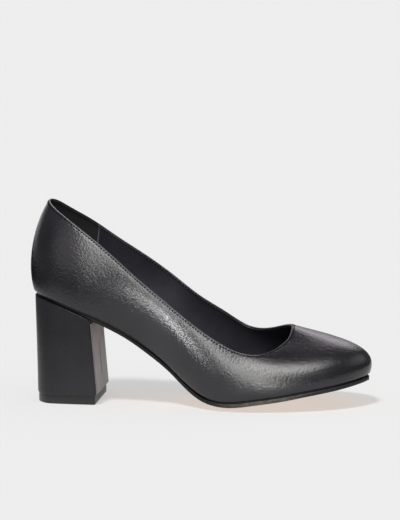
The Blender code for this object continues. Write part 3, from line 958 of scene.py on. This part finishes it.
def build_heel():
    foot = heel_outline(heel_foot_side(), X_BREAST)
    front = X_BREAST - BREAST_SLANT
    top = heel_outline(heel_top_side(front - BREAST_RADIUS), front)
    seat = sole_bottom(top[:, 0], 1.0) - GAP
    start = TOP_PIECE_HEIGHT + GAP
    rings = []
    for level in COVER_LEVELS:
        plan = shrunk(foot + level.at * (top - foot), level.inset)
        lap = COVER_LAP * (level.at < COVER_LAP_SHARE)
        rings.append(np.column_stack([plan, start - lap + level.at * (seat - start)]))
    cover = stack_rings("heel_cover", rings, MATS["cover"])
    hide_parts("heel_block")

    plan = foot * (1 - TOP_PIECE_INSET / np.array([HEEL_BASE_LENGTH / 2, HEEL_BASE_WIDTH / 2]))
    rings = [np.insert(shrunk(plan, level.inset), 2, level.at, axis=1) for level in TOP_PIECE_LEVELS]
    piece = stack_rings("top_piece_finish", rings, MATS["rubber"])
    # Painted highlight along the top piece's upper edge, on its two highest rings
    edge = np.zeros((len(plan), len(rings)))
    edge[:, -2:] = 1.0
    share_attribute(piece, "edge", edge)
    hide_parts("top_piece")

    inner_corner = -CORNER_STEPS - 1
    build_breast(top[inner_corner, 1] - BREAST_COVER_SIDE, seat[inner_corner] - start, start)


BREAST_ROWS = 40
BREAST_COLUMNS = 80
BREAST_BACK_STEP = 8  # the hidden back has one column for so many of the front
BREAST_EDGE_ROUND = 0.35
BREAST_EDGE_REACH = 0.7
CREASE_AT = 0.02  # of the breast's half width
CREASE_MIDDLE = 0.45  # of the cover's height
CREASE_REACH = 0.33
CREASE_DEPTH = 1.0
CREASE_WIDTH = 0.8


def build_breast(top_y, height, start):
    """The leather that covers the breast, with one long crease down its middle."""
    lean = math.atan2(BREAST_SLANT, height)
    normal = np.array([math.cos(lean), 0, math.sin(lean)])
    foot_y = HEEL_BASE_WIDTH / 2 - BREAST_RADIUS - BREAST_COVER_SIDE
    rises = np.linspace(BREAST_COVER_FOOT, height - BREAST_COVER_TOP, BREAST_ROWS)
    across = np.linspace(-1, 1, BREAST_COLUMNS + 1)
    rows = []
    for rise, share in zip(rises, np.linspace(0, 1, BREAST_ROWS)):
        half = foot_y + (top_y - foot_y) * share
        x = X_BREAST - BREAST_SLANT * rise / height
        base = np.column_stack([np.full(len(across), x), across * half, np.full(len(across), start + rise)])
        crease = np.clip(1 - ((share - CREASE_MIDDLE) / CREASE_REACH) ** 2, 0, 1)
        dent = CREASE_DEPTH * crease * bump_at((across - CREASE_AT) * half, CREASE_WIDTH)
        rounding = BREAST_EDGE_ROUND * near((1 - np.abs(across)) * half, BREAST_EDGE_REACH)
        front = base + (GAP + BREAST_COVER_THICKNESS - dent - rounding)[:, None] * normal
        back = base + GAP * normal
        rows.append(np.concatenate([front, back[::-BREAST_BACK_STEP]]))
    sections = np.stack(rows)
    columns = sections.shape[1]
    faces = [face[::-1] for face in loft_faces(BREAST_ROWS, columns, False)]
    faces.append(list(range(columns)))
    faces.append(list(range(BREAST_ROWS * columns - 1, (BREAST_ROWS - 1) * columns - 1, -1)))
    obj = make_mesh("breast_cover_finish", sections.reshape(-1, 3), faces, [MATS["breast"]])
    edge = np.zeros(sections.shape[:2])
    edge[:, [0, BREAST_COLUMNS]] = 1.0
    share_attribute(obj, "edge", edge)
    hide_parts("breast_cover")


build_skin()
build_lining()
build_stitches()
build_sheets()
build_heel()


# Floor, light and camera

FLOOR_HALF = 30.0
FLOOR_LEVEL = 0.7
BACKDROP_LEVEL = 0.855  # what the camera sees past the floor, as pale as the floor itself
DARK_LEVEL = 0.1  # the dark studio that the leather mirrors

# Each light's turn goes from the side of the camera towards the toe, and its lift up from the floor, in
# degrees, as is its width. It falls on the floor, the whole shoe or the upper alone, so that the floor
# stays as even as a studio sweep while the leather shows its soft boxes.
Light = namedtuple("Light", "name falls_on turn lift wide power color shadow")
WHITE, WARM, MAUVE = (1.0, 1.0, 1.0), (1.0, 0.99, 0.97), (1.0, 0.94, 1.0)
LIGHTS = [
    Light("floor_key", "floor", -22, 66, 10, 1.05, WHITE, True),
    Light("floor_sky", "floor", 0, 90, 120, 0.42, WHITE, True),
    Light("floor_fill", "floor", 0, 90, 5, 2.13, WHITE, False),
    Light("front_foot", "upper", 6, -2, 14, 1.0, WARM, False),
    Light("front_low", "upper", 2, 14, 22, 0.72, WARM, True),
    Light("front_middle", "upper", 0, 30, 22, 0.95, WARM, True),
    Light("front_high", "shoe", 5, 46, 22, 1.3, WARM, True),
    Light("front_top", "shoe", 13, 62, 22, 1.5, WARM, True),
    Light("front_peak", "upper", 50, 71, 18, 0.4, WARM, True),
    Light("back", "upper", 172, 42, 24, 0.48, MAUVE, True),
    Light("back_low", "upper", 176, 18, 18, 0.08, MAUVE, True),
    Light("heel_side", "upper", -32, 16, 40, 0.3, MAUVE, True),
    Light("toe_side", "shoe", 108, 34, 36, 0.26, MAUVE, True),
    Light("rim_left", "shoe", -148, -4, 44, 0.4, MAUVE, False),
]

# A narrow spot on the quarter, in metres and degrees
SPOT_PLACE = Vector((-0.018, -0.285, 0.03))
SPOT_AIM = Vector((0.072, -0.035, 0.063))
SPOT_RADIUS = 0.024
SPOT_CONE = 15
SPOT_BLEND = 0.9
SPOT_POWER = 1.75

# Black cloth round the shoe, which the camera leaves out: the leather mirrors it as its dark band
CLOTH_HOLE = (-0.20, -0.19, 0.36, 0.30)
CLOTH_HALF = 3.0
CLOTH_HEIGHT = 0.0012
CLOTH_LEVEL = 0.01


def stage_plane(name, points, faces, level):
    """A matte plane of the studio."""
    mesh = bpy.data.meshes.new(name)
    mesh.from_pydata(points, [], faces)
    nodes = Nodes(name + "_matte")
    nodes.set(Base_Color=grey(level), Roughness=1.0, Specular_IOR_Level=0.0)
    mesh.materials.append(nodes.material)
    plane = bpy.data.objects.new(name, mesh)
    bpy.context.scene.collection.objects.link(plane)
    plane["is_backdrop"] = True
    return plane


def rectangle(x0, y0, x1, y1, z):
    return [(x0, y0, z), (x1, y0, z), (x1, y1, z), (x0, y1, z)]


def build_cloth():
    far = CLOTH_HALF
    points = rectangle(*CLOTH_HOLE, CLOTH_HEIGHT) + rectangle(-far, -far, far, far, CLOTH_HEIGHT)
    faces = [(k, k + 4, (k + 1) % 4 + 4, (k + 1) % 4) for k in range(4)]
    cloth = stage_plane("cloth", points, faces, CLOTH_LEVEL)
    cloth.visible_camera = False
    cloth.visible_shadow = False
    cloth.visible_diffuse = False


def build_floor():
    half = FLOOR_HALF
    return stage_plane("floor", rectangle(-half, -half, half, half, 0), [(0, 1, 2, 3)], FLOOR_LEVEL)


def build_world():
    world = bpy.data.worlds.new("studio")
    world.use_nodes = True
    tree = world.node_tree
    seen = tree.nodes["Background"]
    seen.inputs["Strength"].default_value = BACKDROP_LEVEL
    dark = tree.nodes.new("ShaderNodeBackground")
    dark.inputs["Strength"].default_value = DARK_LEVEL
    for node in (seen, dark):
        node.inputs["Color"].default_value = (1, 1, 1, 1)
    path = tree.nodes.new("ShaderNodeLightPath")
    mix = tree.nodes.new("ShaderNodeMixShader")
    tree.links.new(path.outputs["Is Camera Ray"], mix.inputs["Fac"])
    tree.links.new(dark.outputs["Background"], mix.inputs[1])
    tree.links.new(seen.outputs["Background"], mix.inputs[2])
    tree.links.new(mix.outputs["Shader"], tree.nodes["World Output"].inputs["Surface"])
    bpy.context.scene.world = world


def build_spot(receivers):
    data = bpy.data.lights.new("quarter_spot", "SPOT")
    data.shadow_soft_size = SPOT_RADIUS
    data.spot_size = math.radians(SPOT_CONE)
    data.spot_blend = SPOT_BLEND
    data.energy = SPOT_POWER
    data.use_shadow = False
    obj = bpy.data.objects.new("quarter_spot", data)
    obj.location = SPOT_PLACE
    obj.rotation_euler = (SPOT_AIM - SPOT_PLACE).to_track_quat("-Z", "Y").to_euler()
    obj.visible_camera = False
    bpy.context.scene.collection.objects.link(obj)
    obj.light_linking.receiver_collection = receivers


def build_lights(floor):
    groups = {"floor": [floor], "shoe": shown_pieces(), "upper": [bpy.data.objects["upper_leather"]]}
    receivers = {}
    for name, members in groups.items():
        receivers[name] = bpy.data.collections.new("lit_" + name)
        for member in members:
            receivers[name].objects.link(member)
    for light in LIGHTS:
        data = bpy.data.lights.new(light.name, "SUN")
        data.angle = math.radians(light.wide)
        data.energy = light.power
        data.color = light.color
        data.use_shadow = light.shadow
        obj = bpy.data.objects.new(light.name, data)
        turn, lift = math.radians(light.turn), math.radians(light.lift)
        flat = math.cos(lift)
        towards = Vector((math.sin(turn) * flat, -math.cos(turn) * flat, math.sin(lift)))
        obj.rotation_euler = towards.to_track_quat("Z", "Y").to_euler()
        bpy.context.scene.collection.objects.link(obj)
        obj.light_linking.receiver_collection = receivers[light.falls_on]
    build_spot(receivers["upper"])


CAMERA_PLACE = Vector((0.30893, -1.76755, 0.34941))
CAMERA_TARGET = Vector((0.08564, 0.0, 0.09267))
CAMERA_LENS = 192.2
CAMERA_SENSOR = 36
CAMERA_FAR = 100


def build_camera():
    data = bpy.data.cameras.new("camera")
    data.sensor_width = CAMERA_SENSOR
    data.lens = CAMERA_LENS
    data.clip_end = CAMERA_FAR
    camera = bpy.data.objects.new("camera", data)
    camera.location = CAMERA_PLACE
    camera.rotation_euler = (CAMERA_TARGET - CAMERA_PLACE).to_track_quat("-Z", "Y").to_euler()
    bpy.context.scene.collection.objects.link(camera)
    bpy.context.scene.camera = camera


build_world()
build_cloth()
build_lights(build_floor())
build_camera()
bpy.context.scene.view_settings.view_transform = "Standard"
